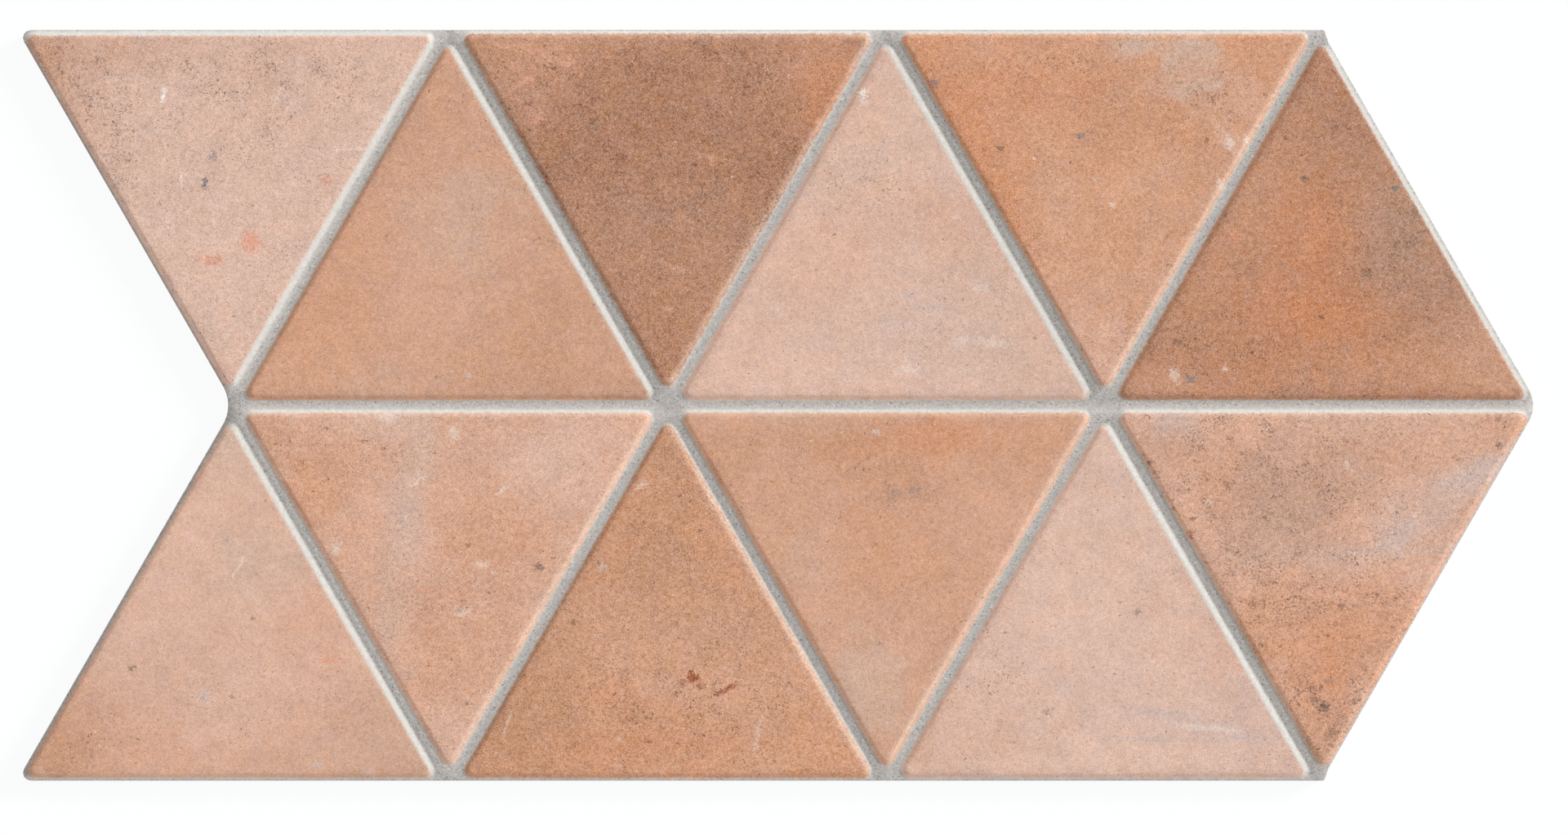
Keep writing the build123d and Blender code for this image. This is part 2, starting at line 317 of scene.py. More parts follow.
# Clouds of colour: tone, strength, x and y of the middle, half length, half height, turn in degrees
CLOUDS = (
    # The first orange cloud, along the left flank of the sixth pad, is orange print and partly painted
    # light lifting that shaded flank
    ("orange", 0.45, 1502, 305, 140, 22, 60), ("pale pink", 0.7, 158, 230, 44, 44, 0),
    ("pale pink", 0.7, 304, 414, 36, 44, 0), ("grey brown", 0.35, 649, 476, 70, 14, 0),
    ("grey brown", 0.3, 326, 474, 50, 14, 0), ("grey brown", 0.3, 770, 474, 40, 14, 0),
    ("tan", 0.4, 716, 274, 34, 40, 28), ("tan", 0.45, 928, 98, 36, 32, 0),
    ("apricot", 0.4, 1024, 312, 34, 50, 0), ("pale pink", 0.45, 1136, 400, 40, 30, 0),
    ("pale grey", 0.4, 1120, 148, 26, 40, 0), ("peach", 0.45, 1270, 400, 38, 44, 0),
    ("apricot", 0.6, 1328, 60, 50, 22, 0), ("tan", 0.55, 1696, 214, 34, 36, 28),
    ("pale pink", 0.45, 254, 776, 50, 40, 0), ("peach", 0.45, 784, 934, 50, 14, 0),
    ("pale grey", 0.35, 998, 684, 34, 40, 0), ("pale pink", 0.6, 1388, 872, 56, 34, 0),
    ("pale pink", 0.6, 1350, 548, 30, 44, 0), ("peach", 0.5, 1498, 796, 40, 44, 0),
    ("orange", 0.7, 1540, 776, 44, 54, -28), ("orange", 0.6, 1706, 758, 50, 50, 28),
    ("grey brown", 0.35, 1554, 660, 54, 36, 0), ("pale grey", 0.25, 290, 200, 170, 120, 0),
    ("pale pink", 0.7, 420, 76, 50, 40, 0), ("pale pink", 0.75, 236, 280, 56, 56, 0),
    ("apricot", 0.4, 424, 296, 30, 50, 0), ("pale grey", 0.35, 470, 472, 60, 16, 0),
    ("tan", 0.35, 655, 285, 40, 50, -28), ("peach", 0.5, 984, 72, 36, 34, 0),
    ("tan", 0.25, 1165, 280, 50, 40, 0), ("apricot", 0.5, 1309, 320, 46, 50, 0),
    ("peach", 0.45, 1202, 64, 44, 22, 0), ("peach", 0.6, 1806, 408, 34, 30, 28),
    ("peach", 0.45, 1440, 470, 60, 16, 0), ("pale pink", 0.65, 222, 650, 40, 60, -28),
    ("pale grey", 0.8, 294, 562, 34, 40, 0), ("pale grey", 0.5, 448, 918, 60, 22, 0),
    ("apricot", 0.25, 549, 905, 26, 26, 0), ("peach", 0.5, 840, 836, 60, 30, 0),
    ("peach", 0.5, 924, 930, 60, 18, 0), ("tan", 0.8, 666, 906, 54, 40, 0),
    ("pale grey", 0.35, 1016, 522, 60, 16, 0), ("tan", 0.25, 1140, 906, 46, 40, 0),
    ("pale pink", 0.45, 1213, 838, 44, 40, 0), ("pale grey", 0.4, 1656, 522, 70, 14, 0),
    ("orange", 0.45, 1838, 525, 30, 18, 0), ("pale pink", 0.4, 284, 790, 150, 130, 0),
    ("umber", 0.35, 817, 150, 190, 130, 0), ("tan", 0.85, 70, 58, 62, 34, -20),
    ("tan", 0.3, 190, 60, 90, 26, 0), ("tan", 0.45, 105, 150, 28, 80, 30),
    ("tan", 0.16, 325, 110, 70, 60, 0), ("grey brown", 0.2, 350, 80, 60, 30, 0),
    ("pale pink", 0.6, 440, 200, 60, 70, 0), ("pale pink", 0.45, 250, 330, 70, 60, 0),
    ("peach", 0.2, 470, 90, 50, 40, 0), ("peach", 0.4, 285, 450, 30, 40, 0),
    ("orange", 0.7, 410, 340, 62, 110, -28), ("pale grey", 0.35, 570, 270, 80, 70, 0),
    ("peach", 0.5, 560, 370, 90, 50, 0), ("tan", 0.45, 660, 400, 70, 50, 30),
    ("tan", 0.25, 560, 472, 240, 22, 0), ("orange", 0.25, 345, 455, 40, 40, 0),
    ("apricot", 0.8, 672, 66, 50, 26, 10), ("peach", 0.45, 645, 118, 34, 44, 20),
    ("tan", 0.6, 600, 60, 50, 30, 0), ("tan", 0.65, 730, 56, 130, 18, 0),
    ("brown", 0.5, 790, 135, 110, 70, 0), ("brown", 0.7, 690, 205, 48, 54, 25),
    ("brown", 0.6, 938, 216, 60, 60, 0), ("deep orange", 0.95, 1006, 100, 34, 74, 26),
    ("grey brown", 0.4, 975, 66, 34, 34, 0), ("grey brown", 0.45, 820, 285, 100, 52, 0),
    ("tan", 0.4, 850, 345, 70, 60, 0), ("umber", 0.7, 820, 380, 70, 80, 0),
    ("peach", 0.25, 1070, 120, 40, 60, 0), ("peach", 0.15, 955, 330, 80, 110, -28),
    ("tan", 0.25, 1205, 300, 36, 70, -28), ("pale grey", 0.5, 1050, 215, 50, 36, 0),
    ("peach", 0.45, 1110, 240, 50, 40, 0), ("pale grey", 0.5, 1165, 385, 95, 50, 10),
    ("pale grey", 0.4, 1215, 440, 70, 36, 0), ("pale pink", 0.5, 945, 424, 14, 11, 0),
    ("deep orange", 0.4, 1170, 95, 70, 48, -20), ("deep orange", 0.35, 1205, 215, 34, 110, 28),
    ("deep orange", 0.3, 1300, 110, 70, 40, 0), ("pale grey", 0.4, 1388, 60, 32, 14, 8),
    ("pale grey", 0.35, 1456, 62, 34, 20, -20), ("pale grey", 0.4, 1444, 96, 42, 18, 25),
    ("grey brown", 0.1, 1470, 116, 30, 14, 0), ("peach", 0.8, 1502, 120, 56, 30, 0),
    ("peach", 0.4, 1410, 345, 44, 50, 0), ("peach", 0.6, 1290, 245, 22, 110, 0),
    ("pale pink", 0.4, 1505, 178, 12, 24, 28), ("peach", 0.35, 1410, 240, 80, 70, 0),
    ("pink", 0.6, 1342, 415, 44, 60, 0), ("umber", 0.6, 1625, 100, 40, 60, 0),
    ("umber", 0.55, 1660, 165, 50, 50, 0), ("orange", 0.4, 1570, 250, 50, 60, 0),
    ("deep orange", 0.9, 1612, 290, 50, 56, 0), ("deep orange", 0.85, 1625, 385, 90, 44, 0),
    ("grey brown", 0.7, 1710, 270, 36, 56, 28), ("grey brown", 0.65, 1700, 345, 44, 50, 0),
    ("grey brown", 0.4, 1768, 372, 30, 44, 28), ("orange", 0.5, 1750, 452, 90, 26, 0),
    ("peach", 0.65, 1828, 456, 50, 26, 0), ("umber", 0.3, 1480, 400, 60, 60, 0),
    ("deep orange", 0.35, 1500, 455, 110, 26, 0), ("pink", 0.6, 290, 590, 36, 60, 0),
    ("pale grey", 0.7, 318, 690, 52, 40, 0), ("pink", 0.6, 165, 790, 60, 60, 0),
    ("tan", 0.85, 75, 922, 64, 34, 0), ("tan", 0.55, 120, 872, 60, 44, 0),
    ("pink", 0.5, 290, 820, 110, 50, 0), ("orange", 0.35, 380, 760, 40, 50, 0),
    ("tan", 0.45, 435, 905, 80, 40, 0), ("grey brown", 0.3, 485, 932, 50, 16, 0),
    ("tan", 0.35, 345, 936, 60, 14, 0), ("grey brown", 0.25, 440, 862, 50, 26, 0),
    ("pale pink", 0.4, 445, 522, 70, 16, 0), ("pale grey", 0.6, 512, 545, 20, 46, 8),
    ("lavender", 0.4, 498, 640, 22, 70, 8), ("pale grey", 0.45, 478, 740, 20, 60, 0),
    ("orange", 0.6, 390, 590, 50, 60, 0), ("orange", 0.55, 600, 650, 60, 70, 0),
    ("pale pink", 0.7, 660, 575, 44, 38, -15), ("pink", 0.6, 720, 535, 50, 24, 0),
    ("pink", 0.6, 720, 600, 30, 40, 28), ("orange", 0.45, 545, 790, 50, 80, 0),
    ("peach", 0.9, 606, 812, 38, 54, 28), ("tan", 0.5, 335, 522, 40, 18, 0),
    ("pale pink", 0.8, 550, 898, 28, 32, 0), ("tan", 0.85, 818, 568, 36, 60, 0),
    ("tan", 0.45, 800, 680, 80, 46, 0), ("tan", 0.9, 642, 852, 50, 100, -28),
    ("peach", 0.45, 790, 770, 110, 44, 0), ("grey brown", 0.22, 880, 760, 100, 44, 0),
    ("peach", 0.35, 930, 850, 70, 50, 0), ("deep orange", 0.4, 840, 925, 90, 22, 0),
    ("deep orange", 0.3, 740, 920, 60, 22, 0), ("tan", 0.65, 1005, 540, 50, 26, 0),
    ("tan", 0.5, 1090, 585, 60, 40, 0), ("deep orange", 0.5, 1120, 540, 100, 24, 0),
    ("tan", 0.3, 893, 574, 40, 50, 28), ("orange", 0.5, 1090, 680, 100, 50, 0),
    ("orange", 0.3, 1250, 560, 50, 40, 0), ("peach", 0.7, 1208, 646, 60, 44, 0),
    ("pale grey", 0.45, 1075, 840, 56, 66, 0), ("pale pink", 0.55, 1300, 740, 70, 60, 0),
    ("lavender", 0.3, 1360, 836, 60, 36, 0), ("lavender", 0.5, 1440, 885, 90, 16, -6),
    ("pale pink", 0.85, 1368, 930, 120, 20, 0), ("peach", 0.4, 1200, 880, 60, 40, 0),
    ("grey brown", 0.25, 1446, 556, 34, 22, 0), ("lavender", 0.6, 1444, 522, 34, 16, 0),
    ("grey brown", 0.5, 1565, 592, 56, 50, 0), ("grey brown", 0.2, 1640, 580, 70, 40, 0),
    ("orange", 0.55, 1490, 590, 34, 44, 0), ("orange", 0.4, 1660, 535, 90, 22, 0),
    ("lavender", 0.85, 1805, 585, 70, 13, 22), ("lavender", 0.8, 1715, 655, 60, 16, 24),
    ("lavender", 0.5, 1590, 680, 60, 10, 4), ("pink", 0.5, 1730, 610, 70, 30, 20),
    ("apricot", 0.5, 1616, 738, 50, 36, 0), ("deep orange", 0.6, 1640, 800, 60, 60, 0),
    ("orange", 0.6, 1620, 880, 36, 50, 0),
)

# Small marks of colour: tone, strength, x and y of the middle, half length, half height, turn
SPOTS = (
    ("chalk", 1, 200, 117, 3, 9, -10), ("white", 0.6, 203, 112, 4, 3, 0),
    ("white", 0.5, 283, 52, 3, 4, 0), ("white", 0.5, 342, 43, 3, 5, 0),
    ("white", 0.5, 178, 160, 3, 3, 0), ("white", 0.5, 125, 193, 3, 3, 0),
    ("slate", 1, 251, 225, 3.5, 9, -15), ("slate", 0.6, 261, 192, 5, 5, 30),
    ("slate", 0.5, 178, 157, 4, 3, 0), ("red", 0.7, 307, 296, 12, 14, 0),
    ("red", 0.6, 259, 319, 18, 7, -10), ("red", 0.45, 400, 222, 10, 8, 0),
    ("white", 0.6, 222, 222, 1.8, 14, 5), ("white", 0.55, 262, 272, 1.8, 14, 3),
    ("white", 0.6, 430, 183, 30, 1.6, 4), ("white", 0.5, 340, 120, 1.8, 16, -25),
    ("white", 0.5, 352, 135, 1.8, 14, -30), ("white", 0.4, 278, 411, 4, 4, 0),
    ("soot", 0.7, 332, 410, 3, 4, 0), ("soot", 0.7, 310, 448, 4, 4, 0),
    ("lavender", 0.7, 580, 180, 3, 3, 0), ("lavender", 0.7, 574, 460, 3, 4, 0),
    ("slate", 0.5, 537, 463, 3, 4, 0), ("apricot", 0.7, 668, 62, 24, 6, 10),
    ("apricot", 0.65, 690, 74, 18, 6, -12), ("apricot", 0.6, 645, 57, 14, 5, 0),
    ("apricot", 0.6, 640, 100, 14, 6, 30), ("apricot", 0.6, 655, 141, 14, 6, -20),
    ("apricot", 0.55, 628, 80, 12, 6, 0), ("apricot", 0.55, 703, 90, 12, 7, 0),
    ("apricot", 0.55, 615, 55, 16, 5, 0), ("red", 0.5, 652, 148, 8, 5, -20),
    ("rust", 0.6, 648, 128, 6, 3, 0), ("peach", 0.7, 872, 195, 5, 5, 0),
    ("peach", 0.6, 835, 330, 12, 5, 0), ("peach", 0.55, 800, 360, 6, 4, 0),
    ("peach", 0.55, 728, 318, 8, 5, 20), ("peach", 0.5, 820, 378, 8, 4, 0),
    ("slate", 0.6, 789, 268, 3, 3, 0), ("brown", 0.7, 760, 195, 9, 6, 0),
    ("brown", 0.6, 865, 60, 10, 6, 0), ("chalk", 1, 1056, 114, 5, 6, 0),
    ("white", 0.4, 1056, 125, 7, 4, 0), ("white", 0.4, 1200, 353, 12, 7, 0),
    ("white", 0.4, 1178, 418, 14, 6, 10), ("white", 0.35, 1215, 420, 18, 6, -8),
    ("white", 0.4, 1112, 452, 18, 6, 0), ("lavender", 0.7, 1112, 360, 10, 6, 0),
    ("lavender", 0.6, 1140, 375, 26, 5, 8), ("lavender", 0.5, 1095, 395, 22, 9, 0),
    ("white", 0.5, 1170, 266, 4, 3, 0), ("soot", 0.7, 1225, 182, 4, 4, 0),
    ("slate", 0.75, 1322, 166, 6, 4, 20), ("white", 0.6, 1265, 194, 3, 3, 0),
    ("white", 0.7, 1362, 251, 4, 3, 0), ("white", 0.5, 1340, 219, 3, 3, 0),
    ("soot", 0.6, 1477, 172, 4, 5, 0), ("pale grey", 0.7, 1388, 58, 26, 12, 6),
    ("pale grey", 0.6, 1432, 72, 12, 16, 0), ("pale grey", 0.7, 1456, 56, 16, 11, 0),
    ("pale grey", 0.65, 1482, 62, 14, 16, 20), ("pale grey", 0.65, 1452, 112, 16, 11, 0),
    ("pale grey", 0.5, 1480, 104, 14, 9, -20), ("white", 0.7, 1506, 175, 5, 8, 20),
    ("white", 0.8, 1526, 172, 4, 5, 0), ("white", 0.7, 1494, 226, 3, 8, 28),
    ("white", 0.6, 1492, 105, 4, 3, 0), ("slate", 0.6, 1144, 102, 6, 8, 0),
    ("soot", 0.85, 1597, 218, 4, 3, 0), ("soot", 0.8, 1635, 156, 4, 4, 0),
    ("soot", 0.9, 1618, 389, 4, 3, 0), ("slate", 0.9, 1709, 230, 6, 3, 0),
    ("slate", 0.85, 1458, 464, 6, 5, 0), ("white", 0.5, 1438, 460, 6, 9, 10),
    ("soot", 0.7, 1441, 419, 5, 4, 0), ("white", 0.6, 1500, 451, 3, 3, 0),
    ("red", 0.5, 1512, 293, 6, 9, 0), ("soot", 0.6, 1672, 335, 6, 6, 0),
    ("soot", 0.7, 162, 818, 6, 4, 20), ("soot", 0.6, 310, 757, 3, 3, 0),
    ("soot", 0.6, 285, 853, 3, 3, 0), ("lavender", 0.7, 250, 852, 8, 12, 0),
    ("lavender", 0.7, 388, 937, 12, 4, 0), ("lavender", 0.5, 450, 945, 8, 4, 0),
    ("red", 0.6, 402, 809, 12, 4, -5), ("white", 0.5, 292, 695, 1.8, 18, -32),
    ("white", 0.5, 515, 588, 14, 1.8, 32), ("white", 0.55, 475, 512, 14, 6, 0),
    ("white", 0.5, 556, 530, 7, 9, 0), ("white", 0.5, 616, 600, 10, 3, 35),
    ("white", 0.5, 497, 634, 3, 4, 0), ("white", 0.45, 590, 692, 10, 5, 10),
    ("white", 0.4, 606, 702, 5, 4, 0), ("white", 0.45, 565, 750, 10, 6, 10),
    ("white", 0.4, 412, 670, 7, 10, 0), ("soot", 0.7, 660, 694, 7, 4, -10),
    ("soot", 0.5, 573, 668, 3, 3, 0), ("soot", 0.6, 572, 861, 3, 3, 0),
    ("red", 0.4, 520, 722, 10, 4, 0), ("rust", 1, 850, 831, 8, 5, 0),
    ("rust", 0.9, 846, 822, 4, 4, 0), ("rust", 0.8, 858, 841, 5, 3, 0),
    ("rust", 0.6, 835, 835, 5, 4, 0), ("rust", 1, 884, 847, 12, 3, 25),
    ("rust", 0.8, 896, 840, 5, 3, 40), ("soot", 0.6, 795, 907, 4, 3, 0),
    ("rust", 0.4, 770, 880, 12, 4, 40), ("white", 0.5, 758, 905, 4, 4, 0),
    ("lavender", 0.7, 738, 694, 5, 6, 0), ("white", 0.5, 785, 595, 7, 4, 10),
    ("white", 0.35, 622, 885, 2, 16, -20), ("white", 0.35, 928, 900, 3, 24, -10),
    ("soot", 0.5, 702, 762, 3, 4, 0), ("white", 0.5, 1072, 529, 5, 3, 0),
    ("slate", 0.35, 1095, 605, 12, 8, 0), ("slate", 0.35, 1120, 602, 8, 10, 0),
    ("slate", 0.7, 1393, 750, 4, 3, 0), ("lavender", 0.9, 1410, 872, 44, 4, -6),
    ("white", 0.5, 1480, 892, 40, 4, -4), ("lavender", 0.8, 1400, 905, 50, 3.5, 0),
    ("lavender", 0.8, 1515, 905, 40, 3.5, 2), ("soot", 0.5, 1282, 872, 6, 4, 0),
    ("soot", 0.7, 1834, 545, 4, 4, 0), ("soot", 0.5, 1835, 513, 4, 4, 0),
    ("white", 0.5, 1650, 568, 3, 6, 0), ("white", 0.4, 1482, 616, 5, 5, 0),
    ("soot", 0.75, 1461, 635, 5, 3, 0), ("rust", 0.7, 1502, 596, 3, 5, 0),
    ("rust", 0.6, 1459, 656, 5, 6, 0), ("soot", 0.6, 1534, 741, 5, 6, 0),
    ("soot", 0.6, 1642, 743, 6, 5, 0), ("soot", 0.9, 1621, 866, 7, 8, 0),
    ("soot", 0.75, 1609, 859, 5, 4, 0), ("soot", 0.4, 1606, 845, 7, 7, 0),
    ("soot", 0.35, 1627, 834, 7, 6, 0), ("soot", 0.25, 1644, 882, 9, 11, 0),
    ("soot", 0.3, 1629, 899, 8, 9, 0), ("lavender", 0.8, 1790, 586, 44, 3, 14),
    ("lavender", 0.8, 1820, 606, 36, 2.5, 3), ("lavender", 0.8, 1715, 650, 26, 4, 40),
    ("lavender", 0.6, 1680, 672, 40, 3, 8), ("lavender", 0.6, 1760, 672, 40, 2.5, 6),
)

# Where dark grit gathers: amount, x and y of the middle, half length, half height
SOOTY = (
    (0.9, 340, 110, 110, 60), (0.8, 90, 90, 60, 50), (0.6, 160, 200, 60, 60), (0.9, 800, 110, 150, 80),
    (0.9, 690, 200, 60, 60), (0.6, 900, 220, 80, 50), (0.8, 1060, 220, 70, 50), (0.5, 1150, 380, 90, 60),
    (0.5, 1300, 70, 120, 30), (0.6, 1480, 130, 60, 40), (0.5, 1700, 300, 80, 120), (0.6, 1500, 420, 80, 50),
    (0.7, 90, 920, 70, 40), (0.5, 300, 860, 200, 60), (0.6, 440, 540, 100, 40), (0.5, 560, 760, 80, 80),
    (0.4, 830, 640, 80, 90), (0.7, 840, 860, 160, 80), (0.4, 1050, 600, 90, 60), (0.5, 1200, 800, 60, 100),
    (1, 1560, 580, 80, 70), (0.9, 1440, 540, 50, 40), (0.9, 1622, 872, 40, 50), (0.7, 1600, 720, 100, 60),
)


def linear(rgb):
    """Linear light from an sRGB colour given as 0 to 255."""
    part = np.asarray(rgb, float) / 255
    return np.where(part <= 0.04045, part / 12.92, ((part + 0.055) / 1.055) ** 2.4)


def ink(name):
    """Linear colour of a named tone, deepened for the sheen that the surface adds."""
    return linear(TONES[name]) * np.array(INK_DEPTH)


def eased(share):
    """A share from 0 to 1 with a soft start and a soft end."""
    return share * share * share * (share * (share * 6 - 15) + 10)


def smooth_noise(x, y, size, seed):
    """Smooth value noise between -1 and 1 with blobs of the given size in millimetres."""
    table = np.random.default_rng(seed).uniform(-1, 1, (NOISE_TABLE, NOISE_TABLE))
    u = x / size + NOISE_START[0]
    v = y / size + NOISE_START[1]
    i = np.floor(u).astype(int)
    j = np.floor(v).astype(int)
    fu = eased(u - i)
    fv = eased(v - j)
    a = table[i % NOISE_TABLE, j % NOISE_TABLE]
    b = table[(i + 1) % NOISE_TABLE, j % NOISE_TABLE]
    c = table[i % NOISE_TABLE, (j + 1) % NOISE_TABLE]
    d = table[(i + 1) % NOISE_TABLE, (j + 1) % NOISE_TABLE]
    return (a + (b - a) * fu) * (1 - fv) + (c + (d - c) * fu) * fv


def layered_noise(x, y, size, seed, layers):
    """Several sizes of smooth noise, each finer and weaker than the one before."""
    total = np.zeros_like(x)
    weight = 1.0
    for layer in range(layers):
        total += weight * smooth_noise(x, y, size / 2**layer, seed + layer)
        weight *= LAYER_FADE
    return total / LAYER_SUM


def corner_arc(before, here, after, radius, step):
    """Points and outward normals round one corner of a counter-clockwise outline."""
    to_before = (before - here) / np.linalg.norm(before - here)
    to_after = (after - here) / np.linalg.norm(after - here)
    inward = (to_before + to_after) / np.linalg.norm(to_before + to_after)
    if radius < SHARP_RADIUS:
        return [(here, -inward)]
    half = np.arccos(np.clip(to_before @ to_after, -1, 1)) / 2
    convex = to_before[0] * to_after[1] - to_before[1] * to_after[0] < 0
    centre = here + inward * radius / sin(half)
    run = radius / tan(half)
    first = here + to_before * run - centre
    last = here + to_after * run - centre
    start = atan2(first[1], first[0])
    sweep = (atan2(last[1], last[0]) - start + pi) % (2 * pi) - pi
    pieces = max(ARC_PIECES, ceil(abs(sweep) * max(radius, ARC_RADIUS) / step))
    arc = []
    for piece in range(pieces + 1):
        angle = start + sweep * piece / pieces
        out = np.array((cos(angle), sin(angle)))
        arc.append((centre + out * radius, out if convex else -out))
    return arc


def rounded_ring(corners, step):
    """Points and outward normals round a counter-clockwise outline of (x, y, radius) corners."""
    count = len(corners)
    tips = [np.array((x, y)) for x, y, _ in corners]
    arcs = []
    for index in range(count):
        after = tips[(index + 1) % count]
        arcs.append(corner_arc(tips[index - 1], tips[index], after, corners[index][2], step))
    points = []
    normals = []
    for index in range(count):
        for point, normal in arcs[index]:
            points.append(point)
            normals.append(normal)
        begin = arcs[index][-1][0]
        end = arcs[(index + 1) % count][0][0]
        along = end - begin
        length = hypot(*along)
        pieces = max(1, round(length / step))
        side = np.array((along[1], -along[0])) / length
        for piece in range(1, pieces):
            points.append(begin + along * piece / pieces)
            normals.append(side)
    return np.array(points), np.array(normals)


def tile_outline():
    """Fine points and normals of the tile's edge, counter-clockwise from the nose."""
    swell_y = HALF_WIDTH - SHOULDER_RUN * sqrt(3) / 2
    upper = [
        (NOSE_X - swell_y * LEAN, swell_y, SWELL_RADIUS),
        (NOSE_X - HALF_WIDTH * LEAN + SHOULDER_REACH, HALF_WIDTH, SHOULDER_RADIUS),
        (TAIL_X, HALF_WIDTH, TAIL_CORNER),
    ]
    lower = [(x, -y, radius) for x, y, radius in reversed(upper)]
    notch = (NOTCH_X, 0, NOSE_RADIUS + LAID_JOINT)
    corners = [(NOSE_X, 0, NOSE_RADIUS), *upper, notch, *lower]
    corners = [(x - MIDDLE_X, y, radius) for x, y, radius in corners]
    points, normals = rounded_ring(corners, EDGE_STEP)
    return points - normals * EDGE_INSET, normals


def pad_layout():
    """Middle of each pad and +1 or -1 for the way it points, upper row first, tail to nose."""
    pads = []
    for side in (1, -1):
        for step in range(2 * PER_EDGE):
            outward = step % 2 == 1
            y = side * ROW * (1 / 3 if outward else 2 / 3)
            pads.append((step * PITCH / 2 - MIDDLE_X, y, side if outward else -side))
    return pads


PADS = pad_layout()


def pad_sides(x, y, pad):
    """Distances inside the three sides of a pad's foot: flat side, left side, right side."""
    px, py, way = pad
    u = x - px
    v = (y - py) * way
    flat = INSCRIBED + v
    left = INSCRIBED + u * cos(radians(30)) - v * sin(radians(30))
    right = INSCRIBED - u * cos(radians(30)) - v * sin(radians(30))
    return np.stack((flat, left, right))


def pad_depth(x, y, pad):
    """Distance inside the rounded foot of a pad, negative outside it."""
    sides = pad_sides(x, y, pad) - PAD_CORNER
    inner = sides.min(axis=0)
    px, py, way = pad
    reach = INSCRIBED - PAD_CORNER
    tips = [(px, py + way * 2 * reach)]
    for hand in (-1, 1):
        tips.append((px + hand * reach * sqrt(3), py - way * reach))
    outside = np.full(x.shape, np.inf)
    for index in range(3):
        ax, ay = tips[index]
        bx, by = tips[(index + 1) % 3]
        length2 = (bx - ax) ** 2 + (by - ay) ** 2
        share = np.clip(((x - ax) * (bx - ax) + (y - ay) * (by - ay)) / length2, 0, 1)
        gap = np.hypot(x - ax - share * (bx - ax), y - ay - share * (by - ay))
        outside = np.minimum(outside, gap)
    return PAD_CORNER + np.where(inner >= 0, inner, -outside)


def pad_ring(pad, depth):
    """Points round a pad at a distance inside its foot."""
    px, py, way = pad
    inscribed = INSCRIBED - depth
    corners = []
    for turn in (90, 210, 330):
        angle = radians(turn)
        x = px + way * 2 * inscribed * cos(angle)
        y = py + way * 2 * inscribed * sin(angle)
        corners.append((x, y, max(PAD_CORNER - depth, 0)))
    return rounded_ring(corners, EDGE_STEP)[0]


def pad_profile(depth):
    """Height above the groove floor at a distance inside the foot of a pad."""
    rise = np.clip((depth + FLANK_LEAD) / FLANK_RUN, 0, 1)
    return PAD_HEIGHT * rise * rise * (3 - 2 * rise)


def triangulate(points, loops):
    """Vertices and triangles of a flat region, and for each given point the vertex it became."""
    edges = []
    for loop in loops:
        edges += [(loop[k - 1], loop[k]) for k in range(len(loop))]
    flat = [Vector((float(px), float(py))) for px, py in points]
    verts, _, faces, sources, _, _ = delaunay_2d_cdt(flat, edges, [], INSIDE_ONLY, MERGE_GAP)
    became = np.full(len(points), -1)
    for vertex, given in enumerate(sources):
        for source in given:
            became[source] = vertex
    return np.array([tuple(v) for v in verts]), [tuple(f) for f in faces], became


def gap_to_loop(points, loop):
    """Distance from each point to the nearest side of a closed loop of points."""
    along = np.roll(loop, -1, axis=0) - loop
    to_point = points[:, None, :] - loop[None, :, :]
    share = np.clip((to_point * along).sum(axis=2) / (along * along).sum(axis=1), 0, 1)
    return np.linalg.norm(to_point - share[:, :, None] * along, axis=2).min(axis=1)


def face_place(x, y):
    """Millimetres on the tile from a place in the picture."""
    return (x - PHOTO_MIDDLE[0]) * PHOTO_MM, (PHOTO_MIDDLE[1] - y) * PHOTO_MM


def mark_weight(x, y, mark_x, mark_y, half_length, half_height, turn=0):
    """How far a mark covers each point, from 0 to 1."""
    cx, cy = face_place(mark_x, mark_y)
    a = radians(turn)
    along = ((x - cx) * cos(a) + (y - cy) * sin(a)) / (half_length * PHOTO_MM)
    across = ((y - cy) * cos(a) - (x - cx) * sin(a)) / (half_height * PHOTO_MM)
    return np.exp(-MARK_FALL * (along**2 + across**2))


def spot_points():
    """A finer field of points under each small mark, so that its edge shows."""
    fields = []
    for _, _, mark_x, mark_y, half_length, half_height, turn in SPOTS:
        cx, cy = face_place(mark_x, mark_y)
        long = half_length * PHOTO_MM
        high = half_height * PHOTO_MM
        step = min(max(min(long, high) * SPOT_STEP_SHARE, SPOT_STEP[0]), SPOT_STEP[1])
        far = SPOT_FIELD * long + step
        wide = SPOT_FIELD * high + step
        u, v = np.meshgrid(np.arange(-far, far, step), np.arange(-wide, wide, step * sqrt(3) / 2))
        u = u + (np.arange(len(u)) % 2)[:, None] * step / 2
        inside = (u / far) ** 2 + (v / wide) ** 2 < 1
        u = u[inside]
        v = v[inside]
        a = radians(turn)
        fields.append(np.column_stack((cx + u * cos(a) - v * sin(a), cy + u * sin(a) + v * cos(a))))
    return np.concatenate(fields)


def face_points(rim):
    """Points over the face: the rim first, then for each pad rings on its flanks and fields inside."""
    parts = [rim]
    fine = spot_points()
    for pad in PADS:
        for depth in RING_DEPTHS:
            ring = pad_ring(pad, depth)
            clear = GROOVE_CLEAR if depth <= 0 else FLANK_CLEAR
            parts.append(ring[gap_to_loop(ring, rim) > clear])
        spread = np.arange(-ROW, ROW, FACE_STEP)
        u, v = np.meshgrid(spread, spread * sqrt(3) / 2)
        u = u + (np.arange(len(spread)) % 2)[:, None] * FACE_STEP / 2
        field = np.stack((u.ravel() + pad[0], v.ravel() + pad[1]), axis=1)
        parts.append(field[pad_depth(field[:, 0], field[:, 1], pad) > FIELD_DEPTH])
        parts.append(fine[pad_depth(fine[:, 0], fine[:, 1], pad) > SPOT_DEPTH])
    return np.concatenate(parts)


